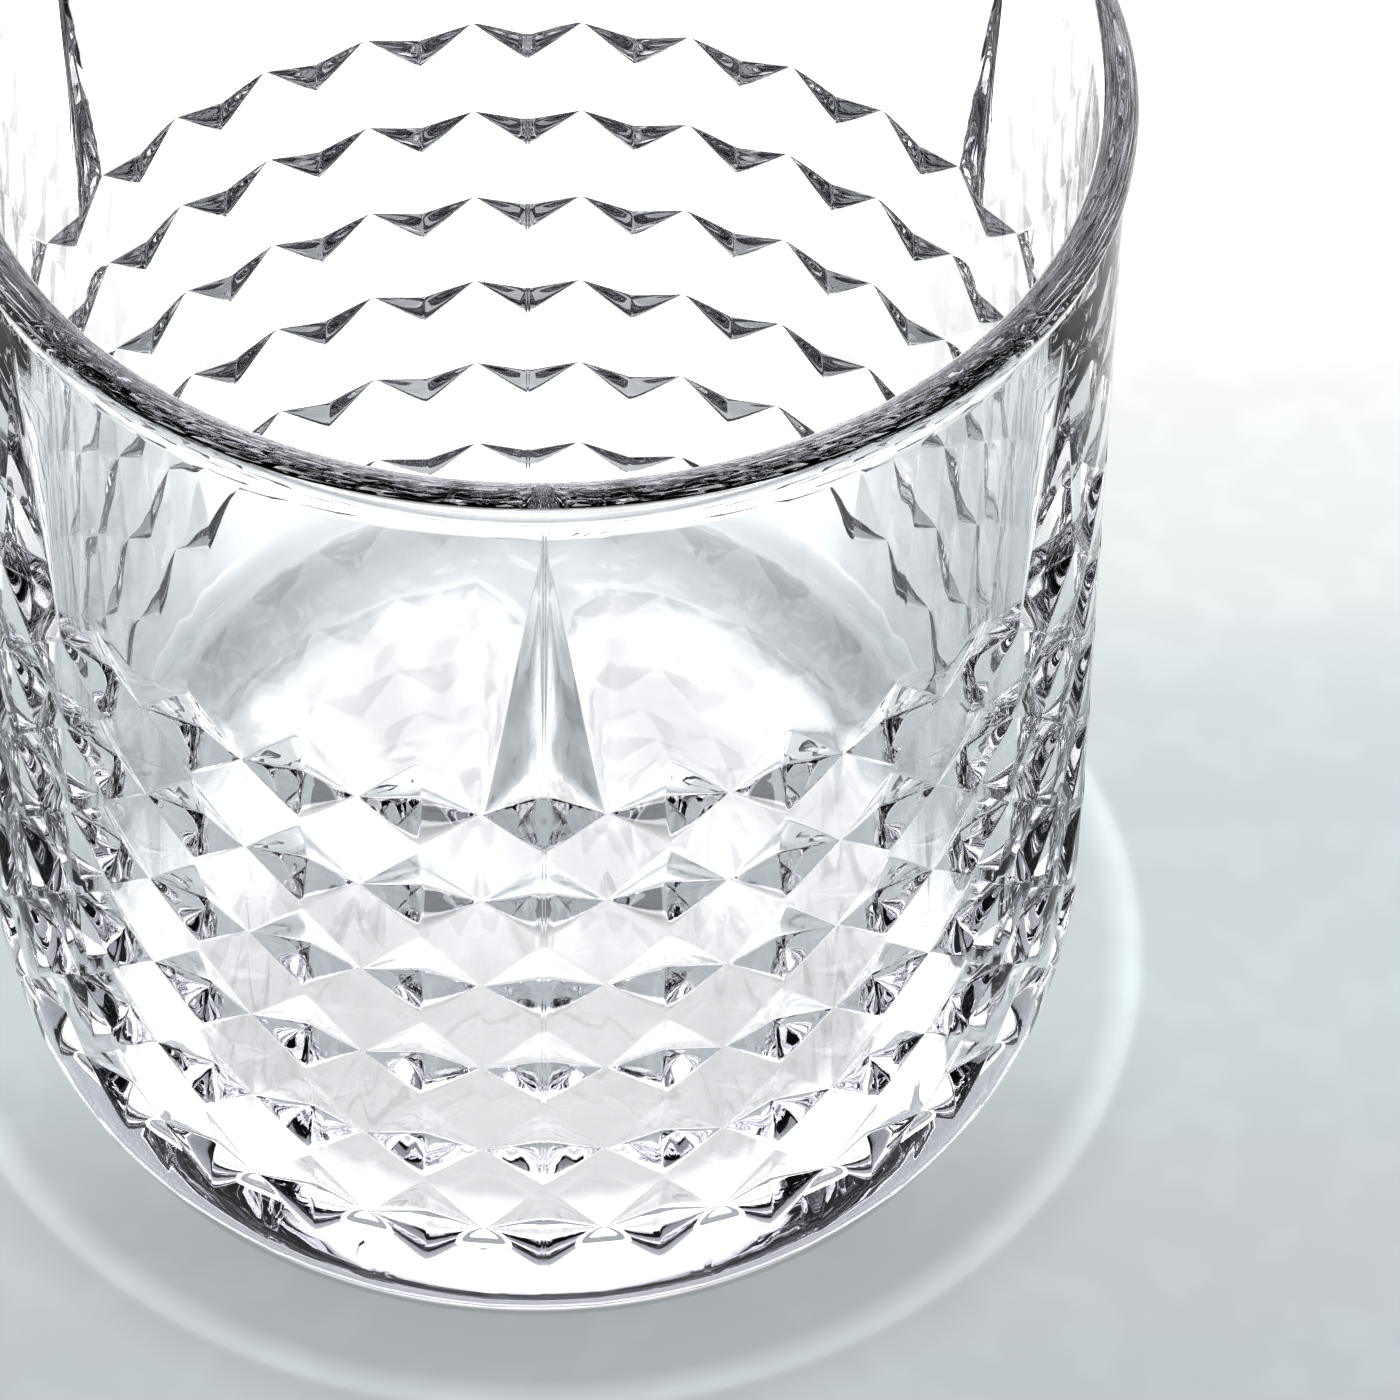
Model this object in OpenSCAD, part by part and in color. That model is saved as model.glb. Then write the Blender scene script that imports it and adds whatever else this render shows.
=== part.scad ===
// Straight-sided old-fashioned whiskey tumbler in clear pressed glass.
// Millimetres. +Z is up. The origin is the centre of the circle the foot rests on.
// Column 0 of the pattern, with a tall flute above it, faces -Y.

/* [Overall] */
// Outer diameter of the lip
rim_d = 82; // [78:1:90]
// Height from the table to the top of the lip
height = 88; // [87:0.5:96]
// Outer radius of the body at the top of the heel
body_r = 41; // [40.6:0.1:41.4]
// Loss of body radius from the heel up to the lip
body_taper = 0.6; // [0:0.1:0.8]

/* [Lip] */
// Thickness of the lip, rounded over its full width
lip_t = 2.6; // [2.2:0.1:2.8]
// Height of the lip bead
lip_h = 3.2; // [2.8:0.1:3.6]

/* [Inside] */
// Inner radius extrapolated to the table plane
inner_r0 = 35.4; // [34.6:0.1:35.6]
// Height of the inner floor above the table
floor_z = 8; // [6.5:0.5:8.5]
// Radius between the inner floor and the wall
floor_fillet = 2.5; // [2:0.5:4]

/* [Diamond pattern] */
// Height of the lowest row of notches above the table
row0_z = 14.2; // [14.1:0.1:14.6]
// Vertical pitch of the rows
row_pitch = 8.7; // [8.6:0.05:8.8]
// Depth of a notch at its deepest point
notch_d = 1.3; // [1.2:0.05:1.5]
// Half width of a notch
notch_a = 4.2; // [3.9:0.05:4.2]
// Height of a notch above its side corners
notch_up = 4.3; // [4:0.05:4.3]
// Height of a notch below its side corners
notch_dn = 3.7; // [3.5:0.05:4]
// Height of the lowest notches below their side corners
notch_last = 4.8; // [4.2:0.1:4.8]
// Drop of the deepest point below the side corners
notch_drop = 0.3; // [0.1:0.05:0.5]
// Roundness of the notch outline, 1 gives a straight-sided diamond
notch_p = 1.12; // [1:0.04:1.2]
// Roundness of the crease across a notch
crease_p = 1.25; // [1.2:0.05:1.5]
// Depth left half way down the hollow lower face, as a share of the crease depth
notch_hollow = 0.43; // [0.35:0.01:0.5]
// The same share for the lowest notches, which are more hollow
notch_hollow_last = 0.24; // [0.2:0.01:0.4]

/* [Tall flutes] */
// Depth of a flute at the top row of notches
flute_d = 1.95; // [1.85:0.05:2]
// Depth of the notch that closes the foot of a flute
flute_end_d = 2.05; // [2:0.05:2.1]
// Gap between the tip of a flute and the lip bead
flute_gap = 0.6; // [0.3:0.1:2]

/* [Heel and foot] */
// Inward reach of the rounded heel
heel_in = 5.4; // [4:0.2:6.4]
// Radius where the foot ring ends and the hollow under the base starts
foot_in_r = 31.5; // [28:0.5:32.5]
// Depth of the shallow hollow under the base
punt_d = 1.2; // [0.6:0.1:1.6]

/* [Hidden] */

cols = 30;
rows = 6;
flute_every = 5;
step = 360 / cols;
row_top = row0_z + (rows - 1) * row_pitch;
z_cut = 9.2;
z_band = row_top + 5.3;
z_lip = height - lip_h;
rim_r = rim_d / 2;
z_heel = row0_z;
inner_k = (rim_r - lip_t - inner_r0) / (height - lip_t / 2);
flute_h = z_lip - flute_gap - row_top;
end_slope = 0.11;

// profile of the outside and the inside
function out_r(z) = z >= z_heel
    ? body_r - body_taper * (z - z_heel) / (z_lip - z_heel)
    : body_r - heel_in + heel_in * sqrt(max(0, 1 - pow((z_heel - z) / z_heel, 2)));
function in_r(z) = inner_r0 + inner_k * z;

// half width of the cell
cell_a = PI * body_r / cols;

// outline and crease of a notch at arc position x from its centre
function g_out(x) = x >= notch_a ? 0 : 1 - pow(x / notch_a, notch_p);
function g_cr(x) = x >= notch_a ? 0 : 1 - pow(x / notch_a, crease_p);
function crease_y(x) = -notch_drop * g_cr(x);
function crease_d(x, end = false) = (end ? flute_end_d : notch_d) * g_cr(x);
function foot_y(x, r) = -(r == rows - 1 ? notch_last : notch_dn) * g_out(x);

// stations across one column, from its centre out to the land
st = [0, 0.35 * notch_a, 0.7 * notch_a, notch_a, cell_a];
ns = 8;
function sx(s) = s <= 4 ? st[s] : -st[8 - s];
function sa(s) = abs(sx(s));
// 1 inside a notch, 2 on its side corner or the land
function kind(s) = sa(s) < notch_a - 1e-6 ? 1 : 2;

// one point: arc position x in column c, height z, depth d below the outside
function pt(c, x, z, d) =
    let (a = c * step + x / cell_a * step / 2, r = out_r(z) - d)
    [r * sin(a), -r * cos(a), z];
function is_flute(c) = c % flute_every == 0;

function row_z(r) = row_top - r * row_pitch;

// flute: width and depth at height h above the top row
function flute_w(h) = notch_a * (1 - h / flute_h);
function flute_v(h) = flute_d * (1 - h / flute_h);
// height at which the end face of a flute meets its V section
function flute_meet(x) = let (v = flute_d * (1 - x / notch_a))
    max(0.3, (crease_d(x, true) - v) / (end_slope - v / flute_h));

heel_rings = [z_heel - (z_heel - z_cut) * 0.36, z_heel - (z_heel - z_cut) * 0.7, z_cut];

// the column of points at one station, top to bottom
function station(c, s) =
    let (x = sx(s), xa = abs(x), k = kind(s), f = is_flute(c) && xa <= notch_a + 1e-6,
         hb = z_band - row_top, q = flute_w(hb) / notch_a)
    concat(
        // edge of the band above
        f ? [pt(c, x * q, z_band, flute_v(hb) * (1 - xa / notch_a))] : [pt(c, x, z_band, 0)],
        // rows: upper edge, crease, middle of the hollow lower face, lower edge
        [for (r = [0 : rows - 1]) each
            let (zr = row_z(r), yc = crease_y(xa), yb = foot_y(xa, r))
            k == 2 ? [pt(c, x, zr, 0)] : [
                r == 0 && f
                    ? let (h = min(flute_meet(xa), hb - 0.1), w = flute_w(h) / notch_a)
                      pt(c, x * w, row_top + h, flute_v(h) * (1 - xa / notch_a))
                    : pt(c, x, zr + notch_up * g_out(xa), 0),
                pt(c, x, zr + yc, crease_d(xa, r == 0 && f)),
                pt(c, x, zr + (yc + yb) / 2,
                    (r == rows - 1 ? notch_hollow_last : notch_hollow) * crease_d(xa, r == 0 && f)),
                pt(c, x, zr + yb, 0)]],
        // the heel
        k == 2 ? [for (z = heel_rings) pt(c, x, z, 0)] : [pt(c, x, z_cut, 0)]
    );

// index of a point inside its station: j is 0 upper edge, 1 crease, 2 middle, 3 lower edge
function i_p(k, r, j) = k == 1 ? 1 + 4 * r + j : 1 + r;

stations = cols * ns;
kinds = [for (i = [0 : stations - 1]) kind(i % ns)];
all_pts = [for (i = [0 : stations - 1])
    station((floor(i / ns) + (i % ns > 4 ? 1 : 0)) % cols, i % ns)];
offs = [for (i = 0, o = 0; i <= stations; o = o + (i < stations ? len(all_pts[i]) : 0), i = i + 1) o];

// a quad split in two, leaving out triangles that have closed up
function tri(a, b, c) = (a == b || b == c || a == c) ? [] : [[a, b, c]];
function quad(a, b, c, d) = concat(tri(a, b, c), tri(a, c, d));

function seam_faces(i) =
    let (j = (i + 1) % stations, k = kinds[i], m = kinds[j], o = offs[i], p = offs[j])
    concat(
        quad(o, p, p + i_p(m, 0, 0), o + i_p(k, 0, 0)),
        [for (r = [0 : rows - 1]) each concat(
            [for (t = [0 : 2]) each
                quad(o + i_p(k, r, t), p + i_p(m, r, t), p + i_p(m, r, t + 1), o + i_p(k, r, t + 1))],
            r == rows - 1 ? [] :
            quad(o + i_p(k, r, 3), p + i_p(m, r, 3), p + i_p(m, r + 1, 0), o + i_p(k, r + 1, 0)))],
        // heel: from the notch foot or the land down to the ring
        let (a = o + i_p(k, rows - 1, 3), b = p + i_p(m, rows - 1, 3))
        k == 2 && m == 2 ? concat(
            quad(a, b, b + 1, a + 1), quad(a + 1, b + 1, b + 2, a + 2), quad(a + 2, b + 2, b + 3, a + 3)) :
        k == 2 ? [[a, b, a + 1], [a + 1, b, a + 2], [a + 2, b, b + 1], [a + 2, b + 1, a + 3]] :
        m == 2 ? [[a, b, b + 1], [a, b + 1, b + 2], [a, b + 2, a + 1], [a + 1, b + 2, b + 3]] :
        quad(a, b, b + 1, a + 1));

module pattern_block() {
    pts = concat([for (s = all_pts) each s], [[0, 0, z_band], [0, 0, z_cut]]);
    top = offs[stations];
    bot = top + 1;
    faces = concat(
        [for (i = [0 : stations - 1]) each seam_faces(i)],
        [for (i = [0 : stations - 1]) let (j = (i + 1) % stations) [top, offs[j], offs[i]]],
        [for (i = [0 : stations - 1]) let (j = (i + 1) % stations)
            [bot, offs[i] + len(all_pts[i]) - 1, offs[j] + len(all_pts[j]) - 1]]);
    polyhedron(pts, faces, convexity = 12);
}

// inside of the glass as a solid of revolution
module hollow() {
    rc = in_r(floor_z + floor_fillet) - floor_fillet;
    zc = floor_z + floor_fillet;
    rotate_extrude($fn = 180)
        polygon(concat(
            [[0, floor_z]],
            [for (i = [0 : 8]) let (a = -90 + i * 90 / 8) [rc + floor_fillet * cos(a), zc + floor_fillet * sin(a)]],
            [[in_r(height + 2), height + 2], [0, height + 2]]));
}

module lip() {
    rt = lip_t / 2;
    cr = rim_r - rt;
    zc = height - rt;
    r_low = out_r(z_lip);
    color([0.92, 0.95, 0.95, 0.5])
    rotate_extrude($fn = 180)
        polygon(concat(
            [[in_r(z_lip), z_lip], [r_low, z_lip]],
            [[rim_r - 0.1, z_lip + 0.55], [rim_r, z_lip + 0.9]],
            [for (i = [0 : 12]) let (a = i * 15) [cr + rt * cos(a), zc + rt * sin(a)]]));
}

// six tall grooves of V section above every fifth column
module flute_cutter(c) {
    h0 = z_band - row_top - 0.4;
    h1 = flute_h;
    a0 = flute_w(h0) / cell_a * step / 2;
    r0 = out_r(row_top + h0);
    r1 = out_r(row_top + h1);
    z0 = row_top + h0;
    z1 = row_top + h1;
    // the side edges lie on the outside, the valley below it
    edge = [r0 * sin(a0), -r0 * cos(a0), z0];
    v0 = [0, -(r0 - flute_v(h0)), z0];
    ext = edge + 1.6 * (edge - v0) / norm(edge - v0);
    rotate([0, 0, c * step])
    polyhedron(
        [v0, ext, [-ext[0], ext[1], z0], [0, -r1 - 0.01, z1]],
        [[0, 2, 1], [0, 1, 3], [0, 3, 2], [3, 1, 2]]);
}

module fluted_band() {
    color([0.86, 0.93, 0.95, 0.5])
    difference() {
        rotate_extrude($fn = 180)
            polygon([[in_r(z_band), z_band], [out_r(z_band), z_band], [out_r(z_lip), z_lip], [in_r(z_lip), z_lip]]);
        for (c = [0 : flute_every : cols - 1]) flute_cutter(c);
    }
}

module diamond_wall() {
    color([0.8, 0.9, 0.95, 0.5])
    difference() {
        pattern_block();
        hollow();
    }
}

module base() {
    color([0.88, 0.92, 0.92, 0.5])
    difference() {
        rotate_extrude($fn = 180)
            polygon(concat(
                [for (i = [0 : 10]) let (r = foot_in_r * i / 10) [r, punt_d * (1 - pow(r / foot_in_r, 2))]],
                [for (i = [0 : 14]) let (z = z_cut * pow(i / 14, 2)) [out_r(z), z]],
                [[0, z_cut]]));
        hollow();
    }
}

lip();
fluted_band();
diamond_wall();
base();
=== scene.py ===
import bpy
import math
import numpy as np
from mathutils import Vector, Matrix


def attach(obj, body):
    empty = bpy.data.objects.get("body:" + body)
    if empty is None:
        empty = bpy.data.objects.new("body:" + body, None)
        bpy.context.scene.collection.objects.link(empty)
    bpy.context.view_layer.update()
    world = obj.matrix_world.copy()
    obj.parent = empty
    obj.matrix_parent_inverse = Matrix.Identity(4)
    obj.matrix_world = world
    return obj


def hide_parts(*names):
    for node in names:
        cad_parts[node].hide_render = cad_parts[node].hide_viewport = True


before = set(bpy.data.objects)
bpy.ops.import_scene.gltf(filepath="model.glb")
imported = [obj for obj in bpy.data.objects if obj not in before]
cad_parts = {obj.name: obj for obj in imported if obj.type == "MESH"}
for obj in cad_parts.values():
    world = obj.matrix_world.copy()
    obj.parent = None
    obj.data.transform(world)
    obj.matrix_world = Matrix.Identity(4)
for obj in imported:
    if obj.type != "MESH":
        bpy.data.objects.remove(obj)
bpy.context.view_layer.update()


# ---------------------------------------------------------------- dimensions
# millimetres, the same as the CAD part, converted when the mesh is made
HEIGHT = 88.0
RIM_R = 41.0
LIP_T = 2.6
Z_LIP = 84.8
BODY_R = 41.0
TAPER = 0.6
IN_R0 = 35.4
IN_K = (RIM_R - LIP_T - IN_R0) / (HEIGHT - LIP_T / 2)
FLOOR_Z = 8.0
FILLET = 2.5
ROW0_Z = 14.2
PITCH = 8.7
ROWS = 6
COLS = 30
ROW_TOP = ROW0_Z + (ROWS - 1) * PITCH
A = 4.2
B_UP = 4.3
B_DN = 3.7
B_LAST = 4.8
DROP = 0.3
DEPTH = 1.3
DEPTH_F = 2.05        # the cut that closes a flute
P_OUT = 1.12
P_CR = 1.25
LOW_E = 1.3
LOW_S = 0.3
CELL = math.pi * BODY_R / COLS
FL_D = 1.95
FL_H = Z_LIP - 0.6 - ROW_TOP
END_SLOPE = 0.11
HEEL_IN = 5.4
FOOT_IN = 31.5
PUNT = 1.2
FLAT = 0.55
K_EDGE = 0.12
# brightness of the painted contact shadow ring round the foot
RING_SHADOW = 0.7
GAMMA = 0.6


def out_r(z):
    z = np.asarray(z, float)
    up = BODY_R - TAPER * (z - ROW0_Z) / (Z_LIP - ROW0_Z)
    lo = BODY_R - HEEL_IN + HEEL_IN * np.sqrt(np.clip(1 - ((ROW0_Z - z) / ROW0_Z) ** 2, 0, 1))
    return np.where(z >= ROW0_Z, up, lo)


def in_r(z):
    return IN_R0 + IN_K * np.asarray(z, float)


def smax(a, b, k):
    h = np.clip(k - np.abs(a - b), 0, None) / k
    return np.maximum(a, b) + h * h * k * 0.25


def smin(a, b, k):
    return -smax(-a, -b, k)


def g_out(x):
    return 1 - np.clip(np.abs(x) / A, 0, 1) ** P_OUT


def g_cr(x):
    return 1 - np.clip(np.abs(x) / A, 0, 1) ** P_CR


def fl_q(h):
    return np.clip(1 - h / FL_H, 0, 1)


def depth(x, z, flute, k=K_EDGE):
    """how far the glass is cut back at arc position x of a column, height z"""
    x = np.abs(x)
    go = np.maximum(g_out(x), 1e-4)
    gc = np.maximum(g_cr(x), 1e-4)
    yt, yc, dc = B_UP * go, -DROP * gc, DEPTH * gc
    inside = np.where(x < A, 1.0, 0.0)
    # softer edges in the cuts, crisp ones in the flutes
    k = np.where(flute & (z > ROW_TOP + 0.5), 0.05, k * np.clip(gc / 0.35, 0.02, 1))
    d = np.zeros_like(x)
    for r in range(ROWS):
        y = z - (ROW0_Z + (ROWS - 1 - r) * PITCH)
        yb = -(B_LAST if r == ROWS - 1 else B_DN) * go
        if r < 2:
            dc = np.where(flute & (r == 0), DEPTH_F, DEPTH) * gc
        up = dc * (yt - y) / (yt - yc)
        t = np.clip((y - yb) / (yc - yb), 0, 3)
        dn = dc * (LOW_S * t + (1 - LOW_S) * t ** LOW_E) if r < ROWS - 1 else dc * (0.1 * t + 0.9 * t ** 2.4)
        if r == 0:
            h = np.clip(y, 0, None)
            q = fl_q(h)
            vee = FL_D * q - FL_D * smax(x, np.full_like(x, FLAT), 0.3) / A
            end = dc - END_SLOPE * y
            up = np.where(flute, smax(end, vee, k), up)
        d = smax(d, smin(up, dn, k) * inside, k * 0.6)
    return np.where(x < A, d, 0)


# ---------------------------------------------------------------- mesh
XS = np.array([0.0, 0.025, 0.06, 0.16, 0.36, 0.53, 0.7, 0.85, 0.95, 1.0]) * A
XS = np.append(XS, CELL)
NX = (len(XS) - 1) * 2          # stations per column
HMIN = 0.16
WE = 0.2


def rows_for(xs, flute):
    """z of every point down the outside for stations xs (|x|), highest first"""
    xs = np.abs(xs)
    n = len(xs)
    go, gc = g_out(xs), g_cr(xs)
    cols = []

    def add(z):
        cols.append(np.broadcast_to(np.asarray(z, float), (n,)).copy())

    def pair(p, q, m):
        for i in range(1, m + 1):
            add(p + (q - p) * i / (m + 1))

    t, c, b = [], [], []
    for r in range(ROWS):
        zr = ROW0_Z + (ROWS - 1 - r) * PITCH
        c.append(zr - DROP * gc)
        t.append(np.maximum(zr + B_UP * go, c[-1] + HMIN))
        b.append(np.minimum(zr - (B_LAST if r == ROWS - 1 else B_DN) * go, c[-1] - HMIN))
    # over a flute the top row's upper edge is where its end face meets the V section
    u = np.clip(xs / A, 0, 1)
    hs = np.linspace(0.05, 9, 400)[:, None]
    gap = (DEPTH_F * gc - END_SLOPE * hs) - (FL_D * fl_q(hs) - FL_D * u)
    first = np.argmax(gap < 0, axis=0)
    hm = np.where((gap < 0).any(axis=0), hs[first, 0], 5.0)
    t[0] = np.where(flute, ROW_TOP + np.clip(hm, HMIN, 6.6), t[0])
    for z in Z_BAND:
        add(z)
    low = np.full(n, Z_BAND[-1])
    pair(low, t[0] + np.minimum(WE, (low - t[0]) * .3), 3)
    for r in range(ROWS):
        up, dn = t[r] - c[r], c[r] - b[r]
        add(t[r] + np.minimum(WE, ((b[r - 1] - t[r]) if r else 2.0) * 0.3))
        add(t[r]); add(t[r] - np.minimum(WE, up * 0.3))
        add(c[r] + up * 0.5)
        add(c[r] + np.minimum(WE * 0.7, up * 0.25)); add(c[r]); add(c[r] - np.minimum(WE * 0.7, dn * 0.1))
        for f in (0.22, 0.42, 0.62, 0.82):
            add(c[r] - dn * f)
        add(b[r] + np.minimum(WE * 0.6, dn * 0.1))
        add(b[r]); add(b[r] - np.minimum(WE * 0.6, (b[r] - t[r + 1]) * 0.3 if r < ROWS - 1 else 0.2))
    pair(b[-1] - 0.2, np.full(n, 8.6), 2)
    for z in Z_HEEL:
        add(z)
    return np.array(cols).T


Z_BAND = [84.5, 83.9, 83.2, 82.2, 80.6, 78.4, 75.8, 72.8, 70.0, 67.2]
Z_HEEL = [8.6, 7.1, 5.7, 4.45, 3.35, 2.4, 1.6, 0.95, 0.48, 0.18, 0.03]

stations = []
for c in range(COLS):
    for i in range(len(XS)):
        stations.append((c, XS[i]))
    for i in range(len(XS) - 2, 0, -1):
        stations.append(((c + 1) % COLS, -XS[i]))
NS = len(stations)
col = np.array([s[0] for s in stations])
xst = np.array([s[1] for s in stations])
flute = (col % 5) == 0
zz = rows_for(xst, flute)                       # [NS, NZ]
NZ = zz.shape[1]
X = np.repeat(xst[:, None], NZ, 1)
F = np.repeat(flute[:, None], NZ, 1)
C = np.repeat(col[:, None], NZ, 1)
# over a flute the stations close in on its axis
h = np.clip(zz - ROW_TOP, 0, None)
q = np.clip(1 - h / FL_H, 0.05, 1)
ax = np.abs(X)
land = A * q + (ax - A) / (CELL - A) * (CELL - A * q)
Xf = np.where(ax <= A, ax * q, land) * np.sign(X)
X = np.where(F, Xf, X)
D = depth(X, zz, F)
R = out_r(zz) - D
# the mould seam: a fine upright ridge at the front and the back
for c0 in (0, 15):
    on = (C == c0) & (zz > 6.0)
    ridge = R + 0.14 * np.exp(-(X / 0.12) ** 2) * np.clip((zz - 6.0) / 5, 0, 1)
    R = np.where(on, np.maximum(R, np.minimum(ridge, BODY_R - 0.02)), R)
theta = (C * (2 * math.pi / COLS)) + X / CELL * (math.pi / COLS)

rings_r, rings_z, rings_t = [], [], []


def ring(r, z, th=None):
    rings_r.append(np.broadcast_to(np.asarray(r, float), (NS,)).copy())
    rings_z.append(np.broadcast_to(np.asarray(z, float), (NS,)).copy())
    rings_t.append(theta_even if th is None else th)


theta_even = (col * (2 * math.pi / COLS)) + xst / CELL * (math.pi / COLS)
# inside, from the centre of the floor up to the lip
RC = float(in_r(FLOOR_Z + FILLET)) - FILLET
ZC = FLOOR_Z + FILLET
inner = []
for r in (3.0, 14.0, 29.5):
    inner.append((r, FLOOR_Z))
for i in range(11):
    a = math.radians(-90 + 9 * i)
    inner.append((RC + FILLET * math.cos(a), ZC + FILLET * math.sin(a)))
for z in (12.6, 14, 21, 39, 60, 78, 84.6, 85.8, 86.4):
    inner.append((float(in_r(z)), z))
for r, z in inner:
    ring(r, z)
# the lip
rt = LIP_T / 2
zc = HEIGHT - rt
cr = RIM_R - rt
for a in range(172, -1, -14):
    ar = math.radians(a)
    ring(cr + rt * math.cos(ar), zc + rt * math.sin(ar))
for r, z in ((RIM_R + 0.0, 86.1), (RIM_R - 0.02, 85.75), (RIM_R - 0.08, 85.5), (RIM_R - 0.2, 85.25), (RIM_R - 0.36, 85.05), (RIM_R - 0.5, 84.9), (float(out_r(84.7)) + 0.03, 84.72)):
    ring(r, z)
# the outside
for j in range(NZ):
    rings_r.append(R[:, j]); rings_z.append(zz[:, j]); rings_t.append(theta[:, j])
# foot ring and the hollow under the base
for r, z in [(BODY_R - HEEL_IN - 0.7, 0.0), (33.4, 0.0), (FOOT_IN + 0.3, 0.0)] + [(r, PUNT * (1 - (r / FOOT_IN) ** 2)) for r in (FOOT_IN - 0.2, FOOT_IN - 0.8, 29.6, 27.6, 25.0, 21.5, 17.0, 12.0, 7.0, 3.0)]:
    ring(r, z)

RR = np.minimum(np.array(rings_r), 40.99)
ZZ = np.array(rings_z)
TT = np.array(rings_t)
NR = RR.shape[0]
# columns turn anticlockwise from above, column 0 at -Y
co = np.stack([RR * np.sin(TT), -RR * np.cos(TT), ZZ], -1).reshape(-1, 3) * 0.001
verts = np.vstack([co, [[0, 0, FLOOR_Z * 0.001], [0, 0, PUNT * 0.001]]])
i = np.arange(NS)
j = (i + 1) % NS
quads = []
for k in range(NR - 1):
    a = k * NS
    b = (k + 1) * NS
    quads.append(np.stack([a + i, b + i, b + j, a + j], -1))
quads = np.concatenate(quads)
top = NR * NS
tris = np.concatenate([np.stack([np.full(NS, top), i, j], -1),
                       np.stack([np.full(NS, top + 1), (NR - 1) * NS + j, (NR - 1) * NS + i], -1)])
me = bpy.data.meshes.new("tumbler_glass")
me.vertices.add(len(verts))
me.vertices.foreach_set("co", verts.astype(np.float32).ravel())
nl = len(quads) * 4 + len(tris) * 3
me.loops.add(nl)
me.loops.foreach_set("vertex_index", np.concatenate([quads.ravel(), tris.ravel()]).astype(np.int32))
me.polygons.add(len(quads) + len(tris))
starts = np.concatenate([np.arange(len(quads)) * 4, len(quads) * 4 + np.arange(len(tris)) * 3])
me.polygons.foreach_set("loop_start", starts.astype(np.int32))
me.update(calc_edges=True)
me.validate()
me.polygons.foreach_set("use_smooth", np.ones(len(me.polygons), bool))
glass = bpy.data.objects.new("tumbler_glass", me)
bpy.context.scene.collection.objects.link(glass)
print("faces", len(me.polygons), "rings", NR, "stations", NS)

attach(glass, "root")
for n in ("lip", "fluted_band", "diamond_wall", "base"):
    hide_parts(n)

# ---------------------------------------------------------------- materials


def new_mat(name):
    m = bpy.data.materials.new(name)
    m.use_nodes = True
    nt = m.node_tree
    nt.nodes.clear()
    return m, nt


m, nt = new_mat("clear_glass")
out = nt.nodes.new("ShaderNodeOutputMaterial")
bs = nt.nodes.new("ShaderNodeBsdfPrincipled")
bs.inputs["Base Color"].default_value = (0.99, 0.992, 0.995, 1)
bs.inputs["Transmission Weight"].default_value = 1.0
bs.inputs["IOR"].default_value = 1.52
bs.inputs["Roughness"].default_value = 0.0
bs.inputs["Metallic"].default_value = 0.0
nt.links.new(bs.outputs[0], out.inputs[0])
tc = nt.nodes.new("ShaderNodeTexCoord")
no = nt.nodes.new("ShaderNodeTexNoise")
no.inputs["Scale"].default_value = 70.0
no.inputs["Detail"].default_value = 2.0
bp = nt.nodes.new("ShaderNodeBump")
bp.inputs["Strength"].default_value = 0.03
bp.inputs["Distance"].default_value = 0.0002
nt.links.new(tc.outputs["Object"], no.inputs["Vector"])
nt.links.new(no.outputs["Fac"], bp.inputs["Height"])
nt.links.new(bp.outputs[0], bs.inputs["Normal"])
ab = nt.nodes.new("ShaderNodeVolumeAbsorption")
ab.inputs["Color"].default_value = (0.918, 0.917, 0.924, 1)
ab.inputs["Density"].default_value = 100.0
nt.links.new(ab.outputs[0], out.inputs["Volume"])
me.materials.append(m)

# ---------------------------------------------------------------- studio
def ramp_node(nt, stops, interp="LINEAR"):
    n = nt.nodes.new("ShaderNodeValToRGB")
    n.color_ramp.interpolation = interp
    e = n.color_ramp.elements
    for i, (p, c) in enumerate(stops):
        c = (c, c, c, 1) if not isinstance(c, tuple) else (c[0], c[1], c[2], 1)
        if i < 2:
            e[i].position = p
            e[i].color = c
        else:
            x = e.new(p)
            x.color = c
    return n


# the floor emits its own light: its colour paints the studio light falling on it and the shadow and caustics of the
# glass
fm, nt = new_mat("floor")
out = nt.nodes.new("ShaderNodeOutputMaterial")
em = nt.nodes.new("ShaderNodeEmission")
geo = nt.nodes.new("ShaderNodeNewGeometry")
sep = nt.nodes.new("ShaderNodeSeparateXYZ")
nt.links.new(geo.outputs["Position"], sep.inputs[0])


def unit(src, lo, hi):
    n = nt.nodes.new("ShaderNodeMapRange")
    n.inputs["From Min"].default_value = lo
    n.inputs["From Max"].default_value = hi
    nt.links.new(src, n.inputs["Value"])
    return n.outputs[0]


def mix(kind, a, b, fac=1.0):
    n = nt.nodes.new("ShaderNodeMix")
    n.data_type = "RGBA"
    n.blend_type = kind
    n.clamp_factor = True
    for src, sock in ((fac, n.inputs[0]), (a, n.inputs[6]), (b, n.inputs[7])):
        if isinstance(src, (float, int)):
            sock.default_value = src
        elif isinstance(src, tuple):
            sock.default_value = (*src, 1)
        else:
            nt.links.new(src, sock)
    return n.outputs[2]


def put(src, stops, interp="LINEAR"):
    n = ramp_node(nt, sorted(stops, key=lambda q: q[0]), interp)
    nt.links.new(src, n.inputs[0])
    return n.outputs[0]


def seen(r, g_, b_):
    """emission that comes out as this screen colour under the view's gamma"""
    o = []
    for v in (r, g_, b_):
        v = (v / 255) ** GAMMA
        o.append(v / 12.92 if v < 0.04045 else ((v + 0.055) / 1.055) ** 2.4)
    return tuple(o)
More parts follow.
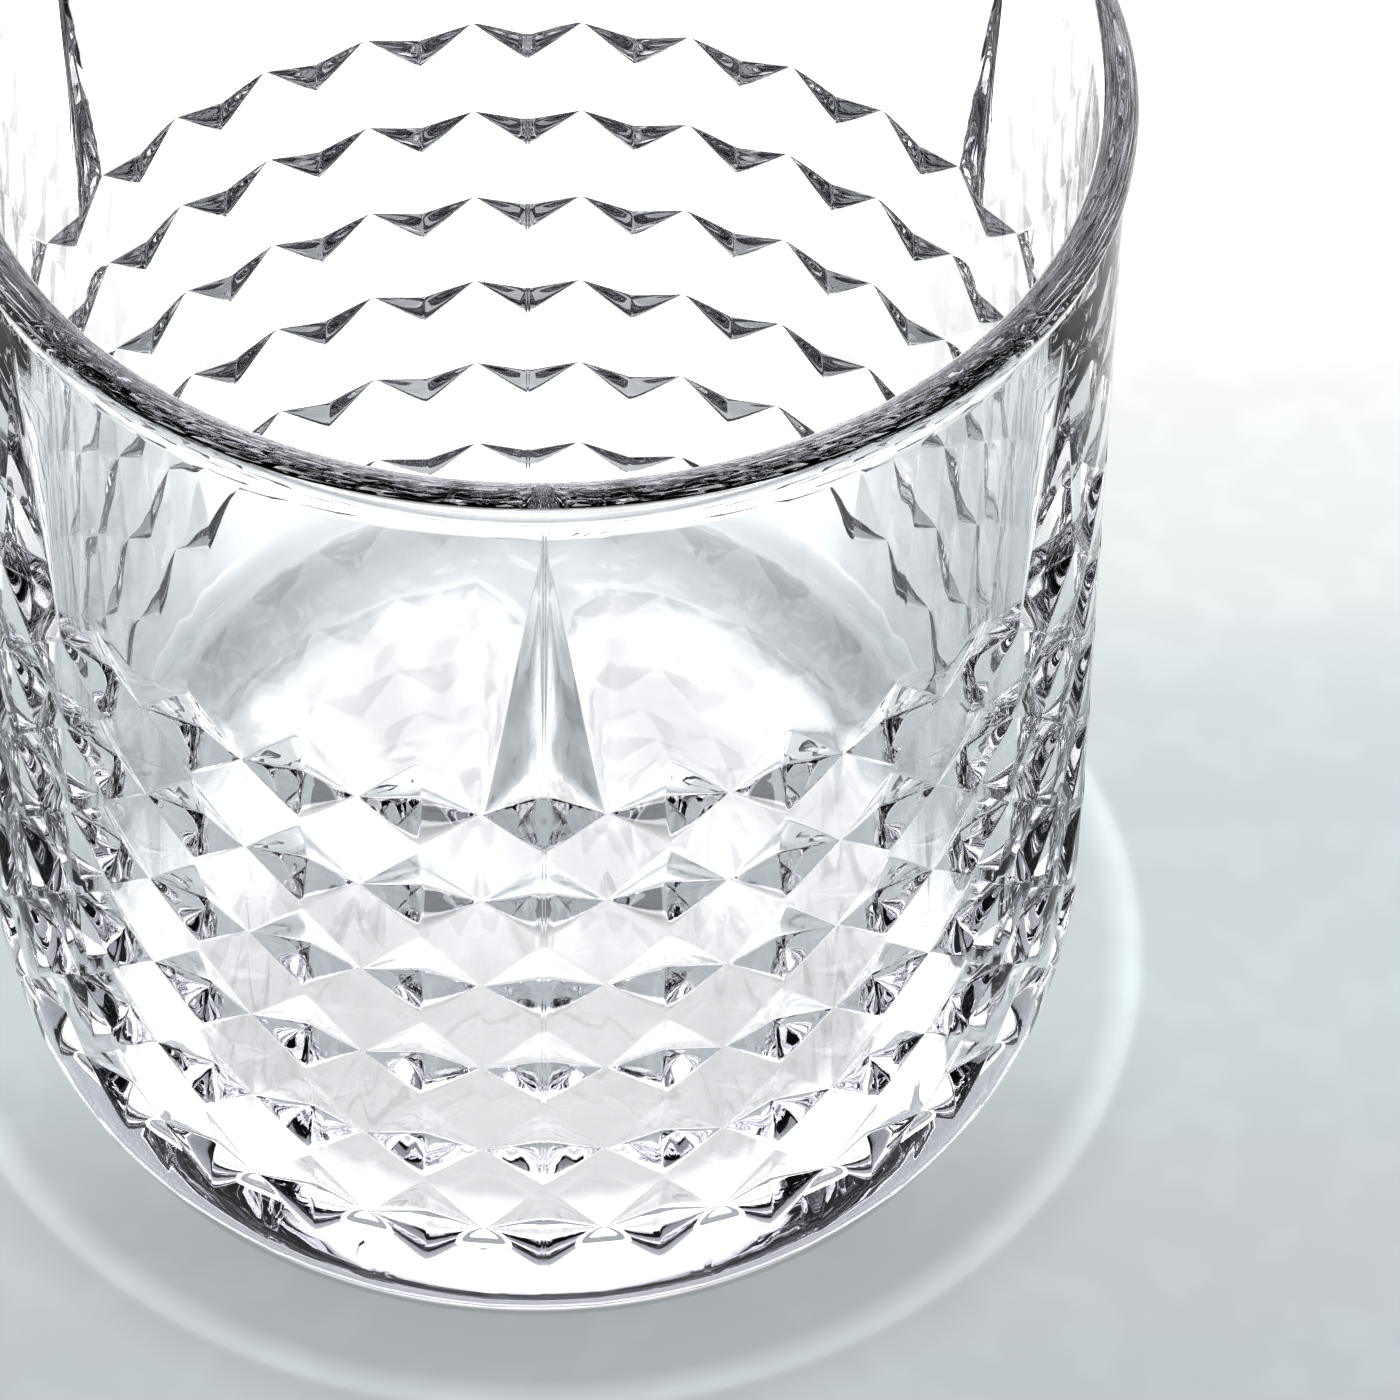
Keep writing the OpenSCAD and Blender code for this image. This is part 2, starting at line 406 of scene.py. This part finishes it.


# painted light falloff on the floor, dull in front to bright white behind the glass; 0 is y=-80 mm, 1 is y=+120 mm
painted_falloff = put(unit(sep.outputs["Y"], -0.08, 0.12), [
    (0.0, seen(190, 198, 203)), (0.175, seen(199, 206, 210)), (0.27, seen(205, 211, 215)), (0.365, seen(210, 219, 221)),
    (0.465, seen(215, 223, 226)), (0.52, seen(221, 229, 231)), (0.575, seen(238, 243, 244)), (0.69, seen(251, 253, 253)),
    (0.80, (1.15, 1.15, 1.15)), (1.0, (1.6, 1.6, 1.6))])
rad = nt.nodes.new("ShaderNodeVectorMath")
rad.operation = "LENGTH"
cmb = nt.nodes.new("ShaderNodeCombineXYZ")
nt.links.new(sep.outputs["X"], cmb.inputs[0])
nt.links.new(sep.outputs["Y"], cmb.inputs[1])
nt.links.new(cmb.outputs[0], rad.inputs[0])
rr = unit(rad.outputs["Value"], 0.0, 0.1)
# front half: painted light gathered under the base and heel; back half: a painted shadow, the dark ring of the foot
fb = put(unit(sep.outputs["Y"], -0.012, 0.012), [(0.0, 0.0), (1.0, 1.0)], "EASE")
# noise for the painted caustics under the base
caustic_cloud = nt.nodes.new("ShaderNodeTexNoise")
caustic_cloud.inputs["Scale"].default_value = 95.0
caustic_cloud.inputs["Detail"].default_value = 1.5
caustic_cloud.inputs["Distortion"].default_value = 0.6
nt.links.new(geo.outputs["Position"], caustic_cloud.inputs["Vector"])
# painted light under the base and heel, seen through the front of the glass
painted_light_under_f = put(rr, [(0.0, 0.98), (0.15, 0.88), (0.27, 0.80), (0.30, 1.7), (0.368, 1.7), (0.372, 0.0), (1.0, 0.0)])
mask_f = put(rr, [(0.0, 1.0), (0.366, 1.0), (0.374, 0.0), (1.0, 0.0)])
# painted shade on the floor around the front of the glass, fading out towards the glass
shade_f = put(rr, [(0.0, 0.78), (0.374, 0.78), (0.43, 0.82), (0.455, 0.86), (0.50, 0.96), (0.62, 0.97), (0.9, 1.0)])
# painted caustics: the faint bright ring and the specks of light thrown on the table
painted_caustic_ring = put(rr, [(0.0, 0.5), (0.435, 0.5), (0.455, 0.59), (0.461, 0.57), (0.466, 0.5), (1.0, 0.5)])
light_speck_noise = nt.nodes.new("ShaderNodeTexNoise")
light_speck_noise.inputs["Scale"].default_value = 190.0
light_speck_noise.inputs["Detail"].default_value = 1.0
nt.links.new(geo.outputs["Position"], light_speck_noise.inputs["Vector"])
painted_light_specks = put(light_speck_noise.outputs["Fac"], [(0.0, 0.496), (0.5, 0.498), (0.62, 0.508), (1.0, 0.515)])
# painted light on the floor: the falloff times the caustic ring and the specks of light
painted_light_floor = mix("MULTIPLY", mix("MULTIPLY", mix("MULTIPLY", painted_falloff, painted_caustic_ring), painted_light_specks), (4.0, 4.0, 4.0))
fm2 = put(unit(sep.outputs["Y"], -0.034, -0.004), [(0.0, 0.0), (1.0, 1.0)], "EASE")
shade_f = mix("MIX", shade_f, (1.0, 1.0, 1.0), fm2)
front = mix("MIX", mix("MULTIPLY", painted_light_floor, shade_f), painted_light_under_f, mask_f)
# painted caustics: a bright cloud of light under the base, seen through the back of the glass
painted_caustics_under_b = mix("MULTIPLY", (1.15, 1.155, 1.16), put(caustic_cloud.outputs["Fac"], [(0.36, 0.86), (0.50, 1.0), (0.62, 1.35)], "EASE"))
mask_b = put(rr, [(0.0, 1.0), (0.27, 1.0), (0.30, 0.0), (1.0, 0.0)])
# painted shadow: the dark contact ring round the foot, seen through the back of the glass
shade_b = put(rr, [(0.0, 0.95), (0.30, 0.95), (0.342, RING_SHADOW), (0.362, RING_SHADOW), (0.378, 0.93), (0.43, 0.97), (1.0, 1.0)])
# more light behind the glass than beside it
xm = put(unit(sep.outputs["X"], -0.05, 0.05), [(0.0, 0.5), (0.12, 0.5), (0.22, 0.75), (0.78, 0.75), (0.88, 0.5), (1.0, 0.5)])
ym = put(unit(sep.outputs["Y"], 0.02, 0.1), [(0.0, 0.0), (0.28, 1.0), (1.0, 1.0)])
lit = mix("MULTIPLY", mix("MIX", (0.5, 0.5, 0.5), xm, ym), (2.0, 2.0, 2.0))
back = mix("MIX", mix("MULTIPLY", mix("MULTIPLY", painted_light_floor, lit), shade_b), painted_caustics_under_b, mask_b)
final = mix("MIX", front, back, fb)
nt.links.new(final, em.inputs[0])
nt.links.new(em.outputs[0], out.inputs[0])
fme = bpy.data.meshes.new("floor")
s = 1.5
fme.from_pydata([(-s, -s, -0.00002), (s, -s, -0.00002), (s, s, -0.00002), (-s, s, -0.00002)], [], [(0, 1, 2, 3)])
floor = bpy.data.objects.new("floor", fme)
bpy.context.scene.collection.objects.link(floor)
fme.materials.append(fm)

# dark cards outside the frame, for the dark edges of the glass
km, nt = new_mat("card")
out = nt.nodes.new("ShaderNodeOutputMaterial")
em = nt.nodes.new("ShaderNodeEmission")
em.inputs[0].default_value = (0.40, 0.41, 0.43, 1)
nt.links.new(em.outputs[0], out.inputs[0])
sm, nt = new_mat("side_card")
out = nt.nodes.new("ShaderNodeOutputMaterial")
em = nt.nodes.new("ShaderNodeEmission")
em.inputs[0].default_value = (0.05, 0.05, 0.055, 1)
nt.links.new(em.outputs[0], out.inputs[0])


def card(name, pts, mat):
    me_ = bpy.data.meshes.new(name)
    me_.from_pydata([tuple(v * 0.001 for v in p) for p in pts], [], [(0, 1, 2, 3)])
    ob = bpy.data.objects.new(name, me_)
    bpy.context.scene.collection.objects.link(ob)
    me_.materials.append(mat)


card("card_left", [(-583, -840, 0), (-583, -23, 0), (-583, -23, 980), (-583, -840, 980)], sm)
card("card_right", [(700, -840, 0), (700, -23, 0), (700, -23, 980), (700, -840, 980)], sm)
card("card_front", [(-260, -260, 0.5), (260, -260, 0.5), (260, -60, 0.5), (-260, -60, 0.5)], km)

w = bpy.data.worlds.new("studio")
bpy.context.scene.world = w
w.use_nodes = True
nt = w.node_tree
nt.nodes.clear()
wo = nt.nodes.new("ShaderNodeOutputWorld")
bg = nt.nodes.new("ShaderNodeBackground")
tc = nt.nodes.new("ShaderNodeTexCoord")
sep = nt.nodes.new("ShaderNodeSeparateXYZ")
mr = nt.nodes.new("ShaderNodeMapRange")
mr.inputs["From Min"].default_value = -0.05
mr.inputs["From Max"].default_value = 0.4
ramp = nt.nodes.new("ShaderNodeValToRGB")
ramp.color_ramp.interpolation = "EASE"
e = ramp.color_ramp.elements
e[0].position = 0.0; e[0].color = (0.17, 0.17, 0.18, 1)
e[1].position = 1.0; e[1].color = (2.8, 2.8, 2.8, 1)
nt.links.new(tc.outputs["Generated"], sep.inputs[0])
nt.links.new(sep.outputs["Y"], mr.inputs["Value"])
nt.links.new(mr.outputs[0], ramp.inputs[0])
nt.links.new(ramp.outputs[0], bg.inputs[0])
nt.links.new(bg.outputs[0], wo.inputs[0])

# ---------------------------------------------------------------- camera
F_PX = 7414.4
PITCH_C = 0.8184
cam_d = bpy.data.cameras.new("cam")
cam = bpy.data.objects.new("cam", cam_d)
bpy.context.scene.collection.objects.link(cam)
az = 0.0149
loc = Vector((0, -0.374766, 0.426081))
fwd = Vector((0, math.cos(PITCH_C), -math.sin(PITCH_C)))
rightv = Vector((1, 0, 0))
upv = rightv.cross(fwd)
rot = Matrix((rightv, upv, -fwd)).transposed().to_4x4()
# the glass is turned a little to the camera, so the camera goes round it the other way
spin = Matrix.Rotation(-az, 4, "Z")
cam.matrix_world = spin @ Matrix.Translation(loc) @ rot
cam_d.sensor_width = 36.0
cam_d.lens = F_PX / 1400 * 36.0
cam_d.shift_x = (700 - 535.19) / 1400
cam_d.clip_start = 0.01
cam_d.clip_end = 20
bpy.context.scene.camera = cam

sc = bpy.context.scene
sc.cycles.max_bounces = 16
sc.cycles.transmission_bounces = 16
sc.cycles.glossy_bounces = 12
sc.cycles.caustics_reflective = True
sc.cycles.caustics_refractive = True
sc.view_settings.view_transform = "Standard"
sc.view_settings.gamma = GAMMA
